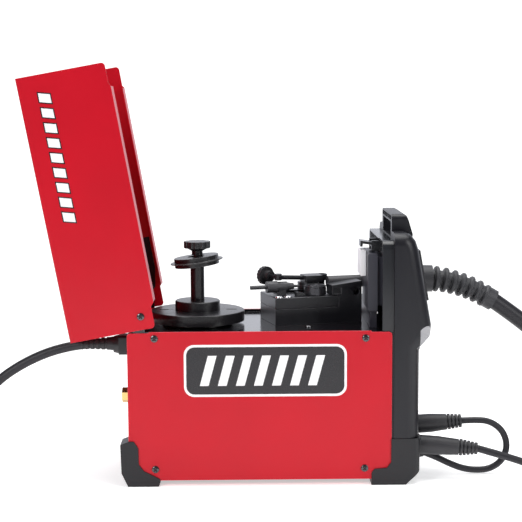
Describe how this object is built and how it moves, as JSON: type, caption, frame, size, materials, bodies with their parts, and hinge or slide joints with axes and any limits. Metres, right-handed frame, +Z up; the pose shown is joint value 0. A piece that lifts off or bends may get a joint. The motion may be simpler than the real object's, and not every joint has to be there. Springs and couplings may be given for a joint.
{
  "type": "mig welding machine",
  "caption": "Portable wire-feed welder with its lid open on the spool hub and drive rolls, gun and work cables, clamp and mains lead.",
  "frame": {"origin": "on the floor under the middle of the case", "axes": "+X towards the control panel, +Y to the far side, +Z up"},
  "size_m": [1.0775, 0.228, 0.4572],
  "materials": {
    "case_paint": "gloss red powder coat",
    "deck_paint": "gloss black powder coat",
    "bezel_plastic": "fine spark-eroded texture",
    "foot_plastic": "fine texture",
    "fascia_film": "smooth satin overlay",
    "knob_plastic": "matt",
    "rim_plastic": "semi-gloss",
    "hub_plastic": "semi-gloss moulded nylon",
    "post_plastic": "semi-gloss moulded nylon",
    "drive_plastic": "semi-gloss glass-filled nylon",
    "guide_plastic": "matt",
    "roll_steel": "turned steel",
    "fastener_steel": "black zinc",
    "gas_brass": "machined brass",
    "fan_plastic": "matt",
    "board_green": "lacquered board",
    "sink_aluminium": "extruded",
    "socket_plastic": "matt",
    "plug_rubber": "matt rubber",
    "cable_rubber": "matt rubber",
    "gun_plastic": "fine texture",
    "neck_coating": "moulded sleeve",
    "nozzle_copper": "nickel-plated copper",
    "clamp_steel": "zinc plated"
  },
  "bodies": {
    "root": {"base_pan": "deck_paint", "case_screws": "fastener_steel", "clamp_lower_jaw": "clamp_steel", "clamp_pin": "fastener_steel", "contact_tip": "nozzle_copper", "control_box": "bezel_plastic", "control_fascia": "fascia_film", "deck": "deck_paint", "drive_cover": "drive_plastic", "drive_housing": "drive_plastic", "drive_motor": "roll_steel", "fan_frame": "fan_plastic", "front_bezel": "bezel_plastic", "front_foot": "foot_plastic", "gas_fittings": "gas_brass", "gun_boot": "plug_rubber", "gun_cable": "cable_rubber", "gun_cable_coil": "cable_rubber", "gun_handle": "gun_plastic", "gun_neck": "neck_coating", "gun_nozzle": "nozzle_copper", "heat_sink": "sink_aluminium", "hinge_pins": "fastener_steel", "lid_seat_rim": "rim_plastic", "lower_plug": "plug_rubber", "main_board": "board_green", "mains_plug": "plug_rubber", "panel_sockets": "socket_plastic", "polarity_lead": "cable_rubber", "power_cord": "cable_rubber", "power_cord_coil": "cable_rubber", "power_gland": "knob_plastic", "rear_feet": "foot_plastic", "rear_panel": "deck_paint", "rocker_frame": "knob_plastic", "side_panel_far": "case_paint", "side_panel_near": "case_paint", "spindle_post": "post_plastic", "upper_plug": "plug_rubber", "wire_guides": "guide_plastic", "work_cable": "cable_rubber", "work_cable_coil": "cable_rubber"},
    "lid": {"lid_shell": "case_paint"},
    "latch": {"lid_latch": "rim_plastic"},
    "hub": {"spool_hub": "hub_plastic"},
    "hold_down": {"hold_down_cap": "hub_plastic"},
    "hold_down_screw": {"hold_down_knob": "hub_plastic"},
    "feed_roll": {"drive_gear": "roll_steel", "drive_roll": "roll_steel"},
    "pinion": {"motor_pinion": "roll_steel"},
    "idler_lever": {"idler_arm": "drive_plastic"},
    "idler": {"idler_roll": "roll_steel"},
    "tensioner": {"tension_arm": "drive_plastic"},
    "tension_screw": {"tension_knob": "knob_plastic"},
    "fan": {"fan_rotor": "fan_plastic"},
    "voltage_control": {"voltage_knob": "knob_plastic"},
    "wire_speed_control": {"wire_speed_knob": "knob_plastic"},
    "power_switch": {"power_rocker": "knob_plastic"},
    "trigger": {"gun_trigger": "gun_plastic"},
    "clamp_lever": {"clamp_upper_jaw": "clamp_steel"}
  },
  "joints": [
    {"name": "lid_hinge", "type": "hinge", "parent": "root", "child": "lid", "pos_m": [-0.1277, 0, 0.1872], "axis": [0, 1, 0], "range_deg": [0, 100.25]},
    {"name": "latch_hinge", "type": "hinge", "parent": "root", "child": "latch", "pos_m": [0.128, 0, 0.2565], "axis": [0, 1, 0], "range_deg": [0, 15], "stiffness_Nm_per_rad": 0.03, "springref_deg": -11.46},
    {"name": "hub_spin", "type": "hinge", "parent": "root", "child": "hub", "pos_m": [-0.0692, 0, 0.175], "axis": [0, 0, 1], "continuous": true},
    {"name": "hold_down_slide", "type": "slide", "parent": "root", "child": "hold_down", "axis": [0, 0, 1], "range_m": [-0.034, 0]},
    {"name": "hold_down_turn", "type": "hinge", "parent": "root", "child": "hold_down_screw", "pos_m": [-0.0692, 0, 0.255], "axis": [0, 0, 1], "continuous": true},
    {"name": "feed_roll_spin", "type": "hinge", "parent": "root", "child": "feed_roll", "pos_m": [0.06449, 0.00551, 0.175], "axis": [0, 0, 1], "continuous": true},
    {"name": "pinion_spin", "type": "hinge", "parent": "root", "child": "pinion", "pos_m": [0.0606, 0.02, 0.175], "axis": [0, 0, 1], "continuous": true},
    {"name": "idler_swing", "type": "hinge", "parent": "root", "child": "idler_lever", "pos_m": [0.02478, 0.03007, 0.199], "axis": [0, 0, 1], "range_deg": [0, 30]},
    {"name": "idler_spin", "type": "hinge", "parent": "idler_lever", "child": "idler", "pos_m": [0.05776, 0.03063, 0.205], "axis": [0, 0, 1], "continuous": true},
    {"name": "tension_swing", "type": "hinge", "parent": "root", "child": "tensioner", "pos_m": [0.07366, 0.03696, 0.216], "axis": [0, 0, -1], "range_deg": [0, 30]},
    {"name": "tension_turn", "type": "hinge", "parent": "tensioner", "child": "tension_screw", "pos_m": [0.02245, 0.00978, 0.217], "axis": [0.6157, -0.788, 0], "continuous": true},
    {"name": "fan_spin", "type": "hinge", "parent": "root", "child": "fan", "pos_m": [-0.135, 0.025, 0.069], "axis": [1, 0, 0], "continuous": true},
    {"name": "voltage_turn", "type": "hinge", "parent": "root", "child": "voltage_control", "pos_m": [0.17493, -0.042, 0.22783], "axis": [0.9847, 0, 0.1741], "range_deg": [-150, 150]},
    {"name": "wire_speed_turn", "type": "hinge", "parent": "root", "child": "wire_speed_control", "pos_m": [0.17493, -0.01, 0.22783], "axis": [0.9847, 0, 0.1741], "range_deg": [-150, 150]},
    {"name": "power_rocker_tip", "type": "hinge", "parent": "root", "child": "power_switch", "pos_m": [-0.139, 0.045, 0.128], "axis": [0, -1, 0], "range_deg": [0, 13]},
    {"name": "trigger_pull", "type": "hinge", "parent": "root", "child": "trigger", "pos_m": [0.41718, -0.05572, 0.0514], "axis": [0, 0, -1], "range_deg": [0, 8], "stiffness_Nm_per_rad": 0.03, "springref_deg": -17.19},
    {"name": "clamp_open", "type": "hinge", "parent": "root", "child": "clamp_lever", "pos_m": [0.3832, 0.04807, 0.0326], "axis": [0, 0, 1], "range_deg": [0, 16], "stiffness_Nm_per_rad": 0.4, "springref_deg": -17.19}
  ],
  "couplings": [
    {"joint": "pinion_spin", "follows": "feed_roll_spin", "ratio": -3.1667},
    {"joint": "idler_spin", "follows": "feed_roll_spin", "ratio": -1}
  ]
}
